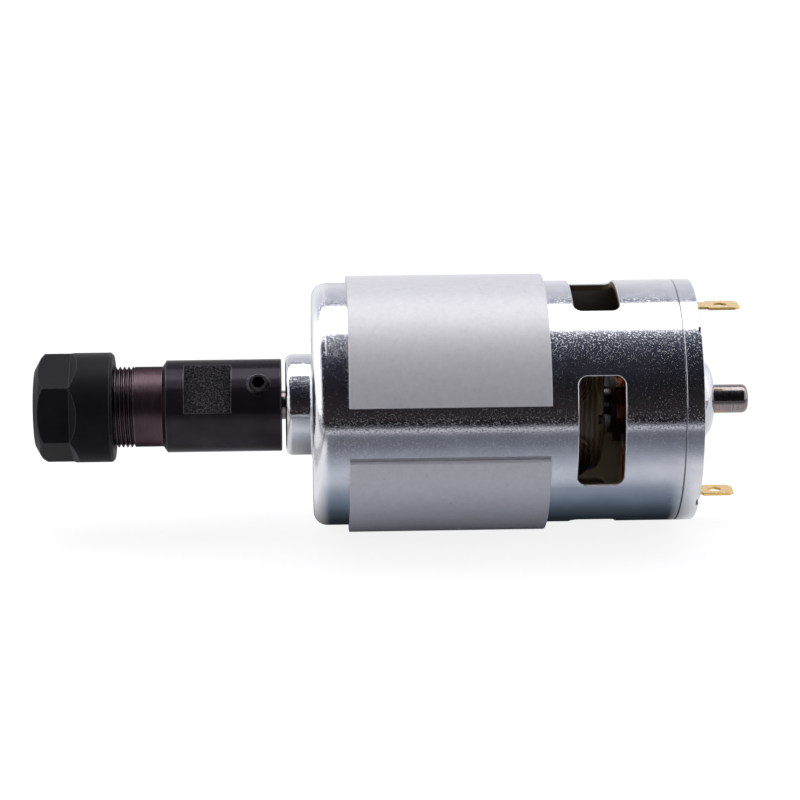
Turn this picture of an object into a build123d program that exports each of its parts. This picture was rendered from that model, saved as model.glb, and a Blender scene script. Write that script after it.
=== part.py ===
from build123d import *
from math import cos, radians, sin, tan
import os

# Motor spindle: a brushed can motor with a collet holder on its shaft. Millimetres.
# The spindle axis is X. X = 0 is the can's front mounting face, the tool is towards -X and the
# terminals towards +X. An elevation is an angle about X, measured from -Y up towards +Z.

# Fits between pieces
press_gap = 0.01          # press fit, drawn just clear
seat_gap = 0.05           # piece laid or glued in its seat
slide_gap = 0.05          # brush in its holder
brush_gap = 0.08          # brush face to commutator
thread_gap = 0.05         # nut thread over holder thread
taper_gap = 0.03          # collet cone in its socket
nose_gap = 0.04           # nut cone to collet nose

# Cutting shapes and the choice of edges
cut_over = 1.0            # how far a cutting shape stands out past the piece
edge_slack = 0.01         # an edge this near a radius or station lies on it
edge_samples = (0, 0.25, 0.5, 0.75, 1)

# Motor can
can_radius = 21.0
can_length = 65.7
can_wall = 1.2
can_corner = 2.4
can_inner_corner = 1.2
can_lip = 0.8             # wall left in front of the front bearing
boss_radius = 8.75
boss_length = 4.6
boss_corner = 1.1
boss_root = 0.4
boss_hole_radius = 5.0
seam_depth = 0.12
seam_half_width = 0.15
can_inner_radius = can_radius - can_wall

# Side windows of the can
window_inset = 13.3       # from the can's back end
window_length = 7.9
window_half_angle = 27.0
window_corner = 1.5
window_count = 4
window_edge = 0.2         # rounding left by the punch
window_end = can_length - window_inset
window_start = window_end - window_length
window_width = 2 * can_radius * sin(radians(window_half_angle))

# Front face holes
bolt_circle = 29.0
bolt_hole_radius = 1.65   # tapping size of M4
bolt_count = 2
vent_width = 4.0
vent_half_angle = 16.0
vent_count = 4
vent_radius = (boss_radius + can_radius - can_corner) / 2

# Flux ring
ring_thickness = 1.25
ring_start = 6.1
ring_margin = 4.55        # from the ring to the windows
ring_gap_half_angle = 12.65
ring_gap_elevation = 1.15
ring_edge = 0.12
ring_end = window_start - ring_margin
ring_inner_radius = can_radius + press_gap
ring_radius = ring_inner_radius + ring_thickness

# End cover and its stakes
cover_seat = 3.1          # depth of the counterbore in the can's back end
cover_step = 0.45
cover_thickness = 1.4
dome_radius = 7.6
dome_reach = 4.0          # past the can's back end
dome_corner = 3.8
dome_root = 0.6
dome_wall = 1.1
dome_hole_radius = 3.0
dome_pocket_radius = 4.6
stake_count = 4
stake_elevation = 49.0
stake_half_angle = 3.0
stake_reach = 1.4
stake_thickness = 0.7
stake_notch_width = 1.8
stake_notch_depth = 0.5
cover_vent_width = 3.6
cover_vent_half_angle = 20.0
cover_seat_place = can_length - cover_seat
cover_seat_radius = can_inner_radius + cover_step
cover_radius = cover_seat_radius - seat_gap
cover_back = cover_seat_place + cover_thickness
dome_end = can_length + dome_reach
cover_vent_radius = (dome_radius + cover_radius) / 2

# Bearings: outside radius, width, ball radius
shaft_radius = 2.5
front_bearing_radius = 8.0
front_bearing_width = 5.0
front_ball_radius = 1.5
rear_bearing_radius = 6.5
rear_bearing_width = 4.0
rear_ball_radius = 1.15
ball_count = 7
ball_gap = 0.04
cage_back = 0.35
shield_thickness = 0.25
shield_recess = 0.35
shield_lip = 0.45
land_ratio = 0.75         # height of each race's land beside the ball track
cage_ratio = 0.45
front_bearing_start = can_lip - boss_length
front_bearing_end = front_bearing_start + front_bearing_width
rear_bearing_start = cover_seat_place
rear_bearing_end = rear_bearing_start + rear_bearing_width

# Magnets and their clips
magnet_start = 7.0
magnet_margin = 1.9       # from the magnets to the windows
magnet_thickness = 4.95
magnet_half_angle = 65.0
clip_thickness = 0.7
clip_lip_reach = 3.4
clip_lip_half_angle = 1.0
clip_edge_gap = 0.4       # angle between a clip's lip and the magnet beside it
clip_margin = 3.0
magnet_end = window_start - magnet_margin
magnet_outer_radius = can_inner_radius - seat_gap
magnet_inner_radius = magnet_outer_radius - magnet_thickness
clip_start = magnet_start + clip_margin
clip_end = magnet_end - clip_margin

# Commutator
commutator_radius = 6.0
commutator_length = 7.1
commutator_hub_radius = 4.3
segment_gap_half_angle = 1.8
riser_height = 1.2
riser_thickness = 1.1
riser_half_angle = 9.0
hub_flange_radius = 5.6
hub_flange_thickness = 0.8
spacer_radius = 3.6
front_spacer_length = 0.45
rear_spacer_length = 2.0
commutator_end = rear_bearing_start - rear_spacer_length
commutator_start = commutator_end - commutator_length
riser_start = commutator_start - riser_thickness
riser_radius = commutator_radius + riser_height
hub_front = riser_start - hub_flange_thickness

# Cooling fan
fan_length = 4.3
fan_margin = 1.0          # fan below the core's radius
fan_hub_radius = 4.6
fan_disc_thickness = 0.8
fan_blade_thickness = 0.9
fan_blade_count = 9
fan_blade_twist = 24.0
fan_clearance = 0.45      # to the windings
fan_front = front_bearing_end + front_spacer_length
fan_back = fan_front + fan_length

# Armature
air_gap = 0.6
core_hub_radius = 5.0
slot_count = 5
tooth_width = 5.2
shoe_thickness = 1.7
slot_opening = 2.0
insulator_thickness = 0.8
insulator_margin = 0.3
winding_gap = 0.1
winding_drop = 2.0        # end turns below the core's radius
winding_front_reach = 4.3
winding_back_reach = 7.6
winding_hub_radius = 4.0
winding_corner = 2.2
winding_lead_gap = 1.7    # room for the coil ends in front of the commutator
coil_groove_depth = 1.2
coil_groove_half_width = 0.8
core_radius = magnet_inner_radius - air_gap
winding_front = fan_back + fan_clearance
core_start = winding_front + winding_front_reach + insulator_thickness
winding_back = hub_front - winding_lead_gap
core_end = winding_back - winding_back_reach - insulator_thickness
winding_radius = core_radius - winding_drop
fan_radius = core_radius - fan_margin

# Brush gear. The brushes lie along Z.
card_thickness = 2.7
card_hole_radius = 7.4
card_boss_height = 2.3
card_boss_half_width = 3.3
card_boss_half_height = 1.4
brush_width = 4.4
brush_length = 5.0
holder_wall = 0.4
holder_inset = 1.3        # from the can's wall
holder_clearance = 2.0    # over the commutator
spring_length = 3.9
spring_turns = 3.5
spring_radius = 1.45
spring_wire_radius = 0.25
card_front = cover_seat_place - card_thickness
brush_back = card_front - holder_wall - slide_gap
brush_front = brush_back - brush_length
holder_outer_end = can_inner_radius - holder_inset
holder_inner_end = commutator_radius + holder_clearance
spring_seat = holder_outer_end - holder_wall
brush_top = spring_seat - spring_length
spring_foot = brush_top + press_gap

# Terminals
terminal_inset = 4.2      # below the can's radius
terminal_width = 4.8
terminal_thickness = 0.5
terminal_reach = 8.3      # past the can's back end
terminal_neck_inset = 5.5     # from the tip
terminal_neck_width = 3.6
terminal_tip_bevel = 0.9
terminal_hole_radius = 1.15
terminal_edge = 0.08
terminal_hole_inset = 3.25    # from the tip
terminal_radius = can_radius - terminal_inset
terminal_tip = can_length + terminal_reach

# Collet holder
holder_gap = 0.7          # in front of the pilot boss
holder_length = 34.7
holder_radius = 8.0
holder_edge = 0.15
thread_radius = 7.0       # M14 x 0.75
thread_depth = 0.46
thread_length = 9.4
thread_lead_in = 0.5
neck_radius = 6.95
neck_length = 4.8
neck_shoulder = 0.7
bore_gap = 0.02
socket_mouth_radius = 5.5
socket_depth = 13.3
socket_half_angle = 8.0
socket_relief = 2.2
shaft_bore_depth = 17.9
through_hole_radius = 1.75
flat_distance = 6.5       # 13 mm across flats
flat_inset = 8.6          # from the holder's back end
flat_length = 8.15
flat_elevation = 42.5
holder_back = -boss_length - holder_gap
holder_front = holder_back - holder_length
thread_end = holder_front + thread_length
thread_root = thread_radius - thread_depth
neck_end = thread_end + neck_length
socket_end = holder_front + socket_depth
through_start = socket_end + socket_relief
bore_end = holder_back - shaft_bore_depth
flat_centre = holder_back - flat_inset - flat_length / 2
socket_slope = tan(radians(socket_half_angle))
socket_end_radius = socket_mouth_radius - socket_depth * socket_slope

# Shaft
shaft_depth = 16.2        # inside the holder
shaft_reach = 10.3        # past the can's back end
shaft_front_chamfer = 0.5
shaft_back_round = 1.0
shaft_tail_gap = 0.2      # from the dome to the ground tail
shaft_groove_length = 0.7     # where the grinding of the tail runs out
shaft_groove_depth = 0.25
shaft_front_end = holder_back - shaft_depth
shaft_back_end = can_length + shaft_reach
shaft_tail_start = dome_end + shaft_tail_gap
shaft_groove_radius = shaft_radius - shaft_groove_depth

# Grub screws
screw_radius = 2.0        # M4
screw_inset = 3.9         # from the holder's back end
screw_length = 6.4
screw_gap = 0.04
screw_chamfer = 0.35
screw_socket_across_flats = 2.0
screw_socket_depth = 2.2
countersink_radius = 2.35
countersink_depth = 0.35
screw_place = holder_back - screw_inset

# Collet
collet_length = 18.0
collet_bore_radius = 1.5875   # one eighth of an inch
collet_rim_height = 0.25      # rim over the holder's mouth
collet_groove_depth = 1.0
collet_groove_width = 1.32
collet_nose_length = 1.2
collet_nose_height = 1.0
collet_nose_half_angle = 30.0
collet_slot_width = 0.5
collet_slot_count = 4
collet_slot_land = 3.0
collet_rim_radius = socket_mouth_radius + collet_rim_height
collet_groove_radius = collet_rim_radius - collet_groove_depth
collet_face_radius = collet_rim_radius - collet_nose_height
collet_gap = taper_gap / cos(radians(socket_half_angle))
collet_rim = holder_front - (collet_rim_height + collet_gap) / socket_slope
collet_groove_front = collet_rim - collet_groove_width
collet_nose = collet_groove_front - collet_nose_length
nose_slope = tan(radians(collet_nose_half_angle))
collet_face = collet_nose - collet_nose_height / nose_slope
collet_back = collet_face + collet_length
collet_back_radius = collet_rim_radius - (collet_back - collet_rim) * socket_slope

# Clamping nut
nut_overhang = 7.8        # in front of the holder
nut_length = 13.55
nut_radius = 9.5
nut_across_flats = 16.5
nut_flat_length = 6.25
nut_ramp_length = 1.3
nut_elevation = 6.5
nut_cone_length = 1.1
nut_cone_radius = 8.8
nut_shoulder_length = 0.7
nut_front_radius = 6.8
nut_back_chamfer = 0.45
nut_mouth_radius = 4.3
nut_mouth_chamfer = 0.5
nut_relief_radius = 7.35
nut_relief_length = 1.1
nut_lip_gap = 0.25
nut_lip_offset = 0.7
nut_nose_gap = 0.25
nut_thread_lead_in = 0.6
nut_edge = 0.12
nut_front = holder_front - nut_overhang
nut_back = nut_front + nut_length
nut_flat_end = nut_front + nut_flat_length
nut_ramp_end = nut_flat_end + nut_ramp_length
nut_cone_end = nut_front + nut_cone_length
nut_shoulder_end = nut_cone_end + nut_shoulder_length
nut_flat_distance = nut_across_flats / 2


def profile(*corners):
    """Closed face from corners (x, radius) or (x, radius, corner rounding)."""
    points = [(corner[0], corner[1]) for corner in corners]
    roundings = [corner[2] if len(corner) > 2 else 0 for corner in corners]
    if any(roundings):
        return make_face(FilletPolyline(*points, radius=roundings, close=True))
    return make_face(Polyline(*points, close=True))


def turned(*corners):
    """Solid of revolution about the spindle axis."""
    return revolve(profile(*corners), Axis.X)


def tube(start, end, inner, outer):
    """Plain ring between two stations."""
    return turned((start, inner), (start, outer), (end, outer), (end, inner))


def arc_bar(half_angle, elevation, *corners):
    """Part of a solid of revolution, centred on an elevation."""
    bar = revolve(profile(*corners), Axis.X, 2 * half_angle)
    return bar.rotate(Axis.X, 180 - elevation - half_angle)


def arc_tube(half_angle, elevation, start, end, inner, outer):
    """Part of a plain ring, centred on an elevation."""
    return arc_bar(half_angle, elevation, (start, inner), (start, outer), (end, outer), (end, inner))


def outward(place, elevation, radius=0.0):
    """Plane that faces away from the axis at a station and an elevation."""
    normal = Vector(0, -cos(radians(elevation)), sin(radians(elevation)))
    return Plane(origin=Vector(place, 0, 0) + normal * radius, x_dir=(1, 0, 0), z_dir=normal)


def lateral(place):
    """Plane across the spindle axis at a station, facing +X."""
    return Plane(origin=(place, 0, 0), x_dir=(0, 1, 0), z_dir=(1, 0, 0))


def kidney(start, depth, radius, width, half_angle, angle):
    """Curved slot through a plate that lies across the axis."""
    centre_line = CenterArc((0, 0), radius, angle - half_angle, 2 * half_angle)
    return extrude(lateral(start) * SlotArc(centre_line, width), depth)


def edges_on(piece, low, high, start, end):
    """Edges that stay between two radii and between two stations."""
    found = []
    for edge in piece.edges():
        samples = [edge @ place for place in edge_samples]
        radii = [Vector(0, point.Y, point.Z).length for point in samples]
        on_radius = low - edge_slack <= min(radii) and max(radii) <= high + edge_slack
        if on_radius and all(start - edge_slack <= point.X <= end + edge_slack for point in samples):
            found.append(edge)
    return found


def elevations(count, first=0.0):
    """Evenly spaced elevations round the axis."""
    return [first + 360 * i / count for i in range(count)]


def save(name, piece):
    """Write one node."""
    export_step(piece, f"parts/{name}.step")


def motor_can():
    """Drawn cup: pilot boss, front plate with holes, windows, counterbored back end with stakes."""
    seam = cover_seat_place
    cup = turned(
        (-boss_length, boss_hole_radius),
        (-boss_length, boss_radius, boss_corner),
        (0, boss_radius, boss_root),
        (0, can_radius, can_corner),
        (seam - seam_half_width, can_radius),
        (seam, can_radius - seam_depth),
        (seam + seam_half_width, can_radius),
        (can_length, can_radius, seam_half_width),
        (can_length, cover_seat_radius),
        (cover_seat_place, cover_seat_radius),
        (cover_seat_place, can_inner_radius),
        (can_wall, can_inner_radius, can_inner_corner),
        (can_wall, front_bearing_radius),
        (front_bearing_start, front_bearing_radius),
        (front_bearing_start, boss_hole_radius),
    )
    window_centre = window_start + window_length / 2
    for elevation in elevations(window_count):
        opening = RectangleRounded(window_length, window_width, window_corner)
        cup -= extrude(outward(window_centre, elevation, can_radius / 2) * opening, can_radius)
    rims = edges_on(cup, can_radius, can_radius, window_start, window_end)
    cup = fillet(rims, window_edge)
    for elevation in elevations(bolt_count):
        hole = Pos(-bolt_circle / 2 * cos(radians(elevation)), 0) * Circle(bolt_hole_radius)
        cup -= extrude(lateral(-cut_over) * hole, can_wall + 2 * cut_over)
    for angle in elevations(vent_count, 180 / vent_count):
        cup -= kidney(-cut_over, can_wall + 2 * cut_over, vent_radius, vent_width, vent_half_angle, angle)
    for elevation in elevations(stake_count, stake_elevation):
        cup += arc_tube(
            stake_half_angle,
            elevation,
            cover_back + seat_gap,
            cover_back + seat_gap + stake_thickness,
            cover_seat_radius - stake_reach,
            cover_seat_radius + cover_step / 2,
        )
        notch = Rectangle(2 * stake_notch_depth, stake_notch_width)
        cup -= extrude(outward(can_length, elevation, cover_seat_radius) * notch, can_wall)
    return cup


def flux_ring():
    """Rolled strip round the can, open over its gap."""
    half_angle = 180 - ring_gap_half_angle
    middle = ring_gap_elevation + 180
    strip = arc_tube(half_angle, middle, ring_start, ring_end, ring_inner_radius, ring_radius)
    return fillet(strip.edges(), ring_edge)


def magnet(elevation):
    """Arc magnet glued to the can's wall."""
    return arc_tube(
        magnet_half_angle, elevation, magnet_start, magnet_end, magnet_inner_radius, magnet_outer_radius
    )


def magnet_clip(elevation):
    """Spring clip between the magnets, with a lip along each magnet's edge."""
    outer = magnet_outer_radius
    span = 90 - magnet_half_angle - clip_edge_gap
    clip = arc_tube(span, elevation, clip_start, clip_end, outer - clip_thickness, outer)
    for side in (-1, 1):
        middle = elevation + side * (span - clip_lip_half_angle)
        lip_foot = outer - clip_lip_reach
        clip += arc_tube(clip_lip_half_angle, middle, clip_start, clip_end, lip_foot, outer)
    return clip


def end_cover():
    """Pressed disc with a domed bearing boss, vents and two slots for the terminal bosses."""
    cover = turned(
        (cover_seat_place, rear_bearing_radius),
        (cover_seat_place, cover_radius),
        (cover_back, cover_radius),
        (cover_back, dome_radius, dome_root),
        (dome_end, dome_radius, dome_corner),
        (dome_end, dome_hole_radius),
        (dome_end - dome_wall, dome_hole_radius),
        (dome_end - dome_wall, dome_pocket_radius),
        (rear_bearing_end, dome_pocket_radius),
        (rear_bearing_end, rear_bearing_radius),
    )
    for side in (-1, 1):
        slot = Pos(0, side * terminal_radius) * Rectangle(
            2 * (card_boss_half_width + seat_gap), 2 * (card_boss_half_height + seat_gap)
        )
        cover -= extrude(lateral(cover_seat_place - cut_over) * slot, cover_thickness + 2 * cut_over)
    for angle in (0, 180):
        cover -= kidney(
            cover_seat_place - cut_over,
            cover_thickness + 2 * cut_over,
            cover_vent_radius,
            cover_vent_width,
            cover_vent_half_angle,
            angle,
        )
    return cover


def brush_card():
    """Moulded disc that carries the brush holders and insulates the terminals."""
    card = tube(card_front, cover_seat_place, card_hole_radius, can_inner_radius - seat_gap)
    for side in (-1, 1):
        boss = Pos(0, side * terminal_radius) * Rectangle(2 * card_boss_half_width, 2 * card_boss_half_height)
        card += extrude(lateral(card_front) * boss, card_thickness + card_boss_height)
        slot = Pos(0, side * terminal_radius) * Rectangle(
            terminal_width + 2 * seat_gap, terminal_thickness + 2 * seat_gap
        )
        slot_depth = card_thickness + card_boss_height + 2 * cut_over
        card -= extrude(lateral(card_front - cut_over) * slot, slot_depth)
    for angle in (0, 180):
        card -= kidney(
            card_front - cut_over,
            card_thickness + 2 * cut_over,
            cover_vent_radius,
            cover_vent_width,
            cover_vent_half_angle,
            angle,
        )
    return card


def bearing(start, width, outer_radius, ball_radius):
    """Deep groove ball bearing: outer race, inner race, shields, balls and crown cage."""
    middle = start + width / 2
    end = start + width
    pitch_radius = (shaft_radius + outer_radius) / 2
    inner_land = pitch_radius - land_ratio * ball_radius
    outer_land = pitch_radius + land_ratio * ball_radius
    track = revolve(Pos(middle, pitch_radius) * Circle(ball_radius + ball_gap), Axis.X)
    outer_race = turned(
        (start, outer_land + shield_lip),
        (start, outer_radius - press_gap),
        (end, outer_radius - press_gap),
        (end, outer_land + shield_lip),
        (end - shield_recess, outer_land + shield_lip),
        (end - shield_recess, outer_land),
        (start + shield_recess, outer_land),
        (start + shield_recess, outer_land + shield_lip),
    )
    inner_race = tube(start, end, shaft_radius + press_gap, inner_land)
    shields = []
    for place in (start + shield_recess - shield_thickness, end - shield_recess):
        bore = inner_land + 2 * ball_gap
        shields.append(tube(place, place + shield_thickness, bore, outer_land + shield_lip - press_gap))
    balls = []
    cage_half = cage_ratio * ball_radius
    cage_end = middle + ball_radius + ball_gap + cage_back
    cage = tube(middle, cage_end, pitch_radius - cage_half, pitch_radius + cage_half)
    for elevation in elevations(ball_count):
        centre = outward(middle, elevation, pitch_radius).origin
        balls.append(Pos(centre) * Sphere(ball_radius))
        cage -= Pos(centre) * Sphere(ball_radius + ball_gap)
    return {
        "outer_race": outer_race - track,
        "inner_race": inner_race - track,
        "shields": Compound(children=shields),
        "balls": Compound(children=balls),
        "cage": cage,
    }


def shaft():
    """Ground steel shaft, chamfered in front, with a relief groove and a rounded tail behind."""
    return turned(
        (shaft_front_end, 0),
        (shaft_front_end, shaft_radius, shaft_front_chamfer),
        (shaft_tail_start - shaft_groove_length, shaft_radius),
        (shaft_tail_start - shaft_groove_length, shaft_groove_radius),
        (shaft_tail_start, shaft_groove_radius),
        (shaft_tail_start, shaft_radius),
        (shaft_back_end, shaft_radius, shaft_back_round),
        (shaft_back_end, 0),
    )


def tooth_bars(width, length):
    """Sketch of the straight armature teeth."""
    bars = Sketch()
    for elevation in elevations(slot_count):
        bars += Rot(0, 0, elevation) * Pos(length / 2, 0) * Rectangle(length, width)
    return bars


def lamination(radius):
    """Sketch of one armature plate: hub, straight teeth and curved shoes with slot openings between."""
    inner = core_radius - shoe_thickness
    shoes = Circle(radius) - Circle(inner)
    for elevation in elevations(slot_count, 180 / slot_count):
        shoes -= Rot(0, 0, elevation) * Pos(core_radius, 0) * Rectangle(4 * shoe_thickness, slot_opening)
    plate = Circle(core_hub_radius) + tooth_bars(tooth_width, (inner + radius) / 2) + shoes
    return plate - Circle(shaft_radius + press_gap)


def end_insulators():
    """Fibre plates at both ends of the core."""
    plates = []
    for place in (core_start - insulator_thickness, core_end):
        plates.append(extrude(lateral(place) * lamination(core_radius - insulator_margin), insulator_thickness))
    return Compound(children=plates)


def windings():
    """Enamelled copper: five filled slots joined by the end turns at both ends."""
    fill = Circle(core_radius - shoe_thickness - winding_gap) - Circle(core_hub_radius + winding_gap)
    fill -= tooth_bars(tooth_width + 2 * winding_gap, core_radius)
    slot_start = core_start - insulator_thickness
    slot_end = core_end + insulator_thickness
    coils = extrude(lateral(slot_start) * fill, slot_end - slot_start)
    for inner, outer in ((slot_start, winding_front), (slot_end, winding_back)):
        coils += turned(
            (inner, winding_hub_radius),
            (inner, winding_radius),
            (outer, winding_radius, winding_corner),
            (outer, winding_hub_radius, winding_corner),
        )
        side = 1 if outer > inner else -1
        for elevation in elevations(slot_count):
            groove = Rectangle(2 * coil_groove_depth, 2 * coil_groove_half_width)
            coils -= extrude(outward(outer, elevation, winding_hub_radius - cut_over) * groove, core_radius)
    return coils


def cooling_fan():
    """Moulded fan: a disc on a hub, with straight slanted blades on its front."""
    hub = tube(fan_front, fan_back, shaft_radius + press_gap, fan_hub_radius)
    fan = hub + tube(fan_back - fan_disc_thickness, fan_back, shaft_radius + press_gap, fan_radius)
    blade_height = fan_back - fan_front - fan_disc_thickness / 2
    blade_length = fan_radius - fan_hub_radius
    for elevation in elevations(fan_blade_count):
        blade = Pos((fan_radius + fan_hub_radius) / 2, 0) * Rot(0, 0, fan_blade_twist) * Rectangle(
            blade_length, fan_blade_thickness
        )
        fan += extrude(lateral(fan_front) * Rot(0, 0, elevation) * blade, blade_height)
    return fan


def commutator_hub():
    """Moulded hub under the commutator's segments."""
    return turned(
        (hub_front, shaft_radius + press_gap),
        (hub_front, hub_flange_radius),
        (riser_start - press_gap, hub_flange_radius),
        (riser_start - press_gap, commutator_hub_radius),
        (commutator_end, commutator_hub_radius),
        (commutator_end, shaft_radius + press_gap),
    )


def commutator_segments():
    """Copper segments, each with a riser for its coil ends."""
    inner = commutator_hub_radius + press_gap
    segments = []
    half_angle = 180 / slot_count - segment_gap_half_angle
    for elevation in elevations(slot_count):
        bar = arc_tube(half_angle, elevation, riser_start, commutator_end, inner, commutator_radius)
        bar += arc_tube(riser_half_angle, elevation, riser_start, commutator_start, inner, riser_radius)
        segments.append(bar)
    return Compound(children=segments)


def on_brush_side(piece, side):
    """Turn a piece made for the upper brush to the lower one."""
    return piece if side > 0 else piece.rotate(Axis.X, 180)


def block(start, end, half_width, low, high):
    """Box between two stations and two heights."""
    size = Box(end - start, 2 * half_width, high - low)
    return Pos((start + end) / 2, 0, (low + high) / 2) * size


def brush_holder():
    """Brass box that guides one brush, closed at the top behind its spring."""
    half = brush_width / 2 + slide_gap
    outer = block(
        brush_front - slide_gap - holder_wall, card_front, half + holder_wall, holder_inner_end, holder_outer_end
    )
    inner = block(brush_front - slide_gap, brush_back + slide_gap, half, 0, spring_seat)
    return outer - inner


def brush():
    """Carbon brush with a face that follows the commutator."""
    carbon = block(brush_front, brush_back, brush_width / 2, 0, brush_top)
    return carbon - tube(hub_front, cover_seat_place, 0, commutator_radius + brush_gap)


def brush_spring():
    """Open coil spring between the brush and the holder's top."""
    low = spring_foot + spring_wire_radius
    height = spring_seat - press_gap - spring_wire_radius - low
    centre = ((brush_front + brush_back) / 2, 0, low)
    path = Helix(pitch=height / spring_turns, height=height, radius=spring_radius, center=centre)
    section = Plane(origin=path @ 0, z_dir=path % 0) * Circle(spring_wire_radius)
    return sweep(section, path=path)


def terminal():
    """Brass tab with a narrow neck, a round hole and a bevelled tip."""
    blade = block(
        card_front + press_gap,
        terminal_tip,
        terminal_width / 2,
        terminal_radius - terminal_thickness / 2,
        terminal_radius + terminal_thickness / 2,
    )
    tip = blade.faces().sort_by(Axis.X)[-1]
    blade = chamfer(tip.edges().filter_by(Axis.Z), terminal_tip_bevel)
    hole_place = terminal_tip - terminal_hole_inset
    hole = Pos(hole_place, 0, terminal_radius) * Cylinder(terminal_hole_radius, 2 * terminal_thickness)
    notch_start = cover_seat_place + card_boss_height
    neck_end_place = terminal_tip - terminal_neck_inset
    notch_depth = (terminal_width - terminal_neck_width) / 2
    for side in (-1, 1):
        middle = side * (terminal_width / 2)
        notch = Box(neck_end_place - notch_start, 2 * notch_depth, 2 * terminal_thickness)
        blade -= Pos((notch_start + neck_end_place) / 2, middle, terminal_radius) * notch
    blade -= hole
    return fillet(blade.edges(), terminal_edge)


def collet_holder():
    """Holder: threaded nose with a taper socket, neck, wrench flats, shaft bore and grub screw holes."""
    bore = shaft_radius + bore_gap
    holder = turned(
        (holder_front, socket_mouth_radius),
        (holder_front, thread_root - thread_lead_in),
        (holder_front + thread_lead_in, thread_root),
        (thread_end, thread_root),
        (thread_end, neck_radius),
        (neck_end, neck_radius),
        (neck_end + neck_shoulder, holder_radius),
        (holder_back - holder_edge, holder_radius),
        (holder_back, holder_radius - holder_edge),
        (holder_back, bore),
        (bore_end, bore),
        (bore_end, through_hole_radius),
        (through_start, through_hole_radius),
        (through_start, socket_end_radius),
        (socket_end, socket_end_radius),
    )
    for side in (0, 180):
        flat = Rectangle(flat_length, 2 * holder_radius)
        holder -= extrude(outward(flat_centre, flat_elevation + side, flat_distance) * flat, holder_radius)
        hole = outward(screw_place, flat_elevation + side) * Circle(screw_radius + screw_gap)
        holder -= extrude(hole, 2 * holder_radius)
        sink_plane = outward(screw_place, flat_elevation + side, holder_radius - countersink_depth)
        sink = Circle(countersink_radius)
        holder -= extrude(sink_plane * sink, holder_radius)
    return holder


def set_screw(elevation):
    """Grub screw with a hexagon socket, its tip on the shaft."""
    tip = shaft_radius + bore_gap
    foot = outward(screw_place, elevation, tip)
    screw = extrude(foot * Circle(screw_radius), screw_length)
    ends = screw.edges().filter_by(GeomType.CIRCLE)
    screw = chamfer(ends, screw_chamfer)
    corner_radius = screw_socket_across_flats / 2 / cos(radians(30))
    socket_plane = outward(screw_place, elevation, tip + screw_length - screw_socket_depth)
    return screw - extrude(socket_plane * RegularPolygon(corner_radius, 6), 2 * screw_socket_depth)


def collet():
    """Spring collet: long cone, pull-out groove, short nose cone and slots from both ends."""
    body = turned(
        (collet_face, collet_bore_radius),
        (collet_face, collet_face_radius),
        (collet_nose, collet_rim_radius),
        (collet_groove_front, collet_rim_radius),
        (collet_groove_front, collet_groove_radius),
        (collet_rim, collet_groove_radius),
        (collet_rim, collet_rim_radius),
        (collet_back, collet_back_radius),
        (collet_back, collet_bore_radius),
    )
    step = 360 / collet_slot_count
    front_slot = (collet_face - cut_over, collet_back - collet_slot_land)
    back_slot = (collet_rim + collet_slot_land, collet_back + cut_over)
    for (start, end), first in ((front_slot, 0), (back_slot, step / 2)):
        for elevation in elevations(collet_slot_count, first):
            slot = Rectangle(end - start, collet_slot_width)
            body -= extrude(outward((start + end) / 2, elevation) * slot, 2 * collet_rim_radius)
    return body


def collet_nut():
    """Clamping nut: hexagon with a round skirt, thread bore, pull-out lip and nose cone inside."""
    thread_bore = thread_radius + thread_gap
    relief_end = collet_rim - nut_lip_gap
    lip_front = collet_groove_front + nut_lip_gap
    cavity = collet_rim_radius + nut_nose_gap
    cone_gap = nose_gap / cos(radians(collet_nose_half_angle))
    cone_start = collet_nose + (nut_nose_gap - cone_gap) / nose_slope
    cone_end = collet_nose - (collet_rim_radius + cone_gap - nut_mouth_radius) / nose_slope
    nut = turned(
        (nut_front, nut_mouth_radius + nut_mouth_chamfer),
        (nut_front, nut_front_radius),
        (nut_cone_end, nut_cone_radius),
        (nut_shoulder_end, nut_radius),
        (nut_back - nut_back_chamfer, nut_radius),
        (nut_back, nut_radius - nut_back_chamfer),
        (nut_back, thread_bore + nut_thread_lead_in),
        (nut_back - nut_thread_lead_in, thread_bore),
        (relief_end + nut_relief_length, thread_bore),
        (relief_end + nut_relief_length, nut_relief_radius),
        (relief_end, nut_relief_radius),
        (relief_end, collet_groove_radius),
        (lip_front, collet_groove_radius),
        (lip_front, cavity),
        (cone_start, cavity),
        (cone_end, nut_mouth_radius),
        (nut_front + nut_mouth_chamfer, nut_mouth_radius),
    )
    lip_hole = Pos(nut_lip_offset, 0) * Circle(collet_rim_radius + nut_lip_gap / 2)
    nut -= extrude(lateral(lip_front) * lip_hole, relief_end - lip_front)
    reach = nut_radius / 2
    rise = (nut_radius - nut_flat_distance) / (nut_ramp_end - nut_flat_end)
    ramp_top = nut_radius + cut_over
    ramp_stop = nut_flat_end + (ramp_top - nut_flat_distance) / rise
    wedge = make_face(
        Polyline(
            (nut_front - cut_over, nut_flat_distance),
            (nut_flat_end, nut_flat_distance),
            (ramp_stop, ramp_top),
            (nut_front - cut_over, ramp_top),
            close=True,
        )
    )
    cutter = extrude(wedge, reach, both=True)
    for elevation in elevations(6, nut_elevation):
        nut -= cutter.rotate(Axis.X, 180 - elevation)
    outer_edges = edges_on(nut, nut_relief_radius + nut_edge, nut_radius, nut_front, nut_back)
    return fillet(outer_edges, nut_edge)


os.makedirs("parts", exist_ok=True)

save("motor_can", motor_can())
save("flux_ring", flux_ring())
save("magnet_near", magnet(0))
save("magnet_far", magnet(180))
save("magnet_clip_top", magnet_clip(90))
save("magnet_clip_bottom", magnet_clip(270))
save("end_cover", end_cover())
save("brush_card", brush_card())

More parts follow.
